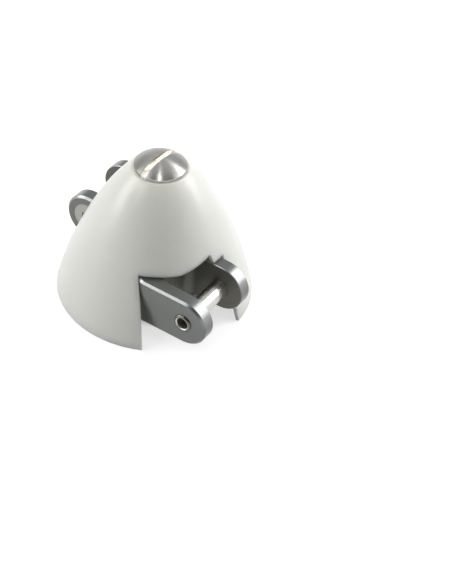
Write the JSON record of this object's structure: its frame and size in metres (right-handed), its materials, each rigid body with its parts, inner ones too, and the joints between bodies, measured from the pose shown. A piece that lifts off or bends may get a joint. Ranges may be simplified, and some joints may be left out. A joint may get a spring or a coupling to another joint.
{
  "type": "propeller spinner",
  "caption": "Domed spinner shell with a forked hub for folding blades, blade pins, a split collet with clamping nut and a slotted nose screw.",
  "frame": {"origin": "middle of the shell's rear rim, in the plane that it stands on", "axes": "+Z along the motor shaft towards the nose, +X along one blade arm, whose gap lies on the -Y side of the shaft; the other arm is turned half round about +Z"},
  "size_m": [0.0434, 0.0398, 0.0326],
  "materials": {
    "shell": "off-white moulded plastic, satin gloss",
    "nose_metal": "fine turned",
    "hub_metal": "grey anodised, satin",
    "pin_steel": "ground steel",
    "collet_steel": "turned",
    "fastener_steel": "zinc plated"
  },
  "bodies": {
    "root": {"spinner_cone": "shell", "nose_screw": "nose_metal", "hub_yoke": "hub_metal", "blade_pin_right": "pin_steel", "blade_pin_left": "pin_steel", "taper_collet": "collet_steel", "clamp_washer": "fastener_steel", "clamp_nut": "fastener_steel"}
  },
  "joints": []
}
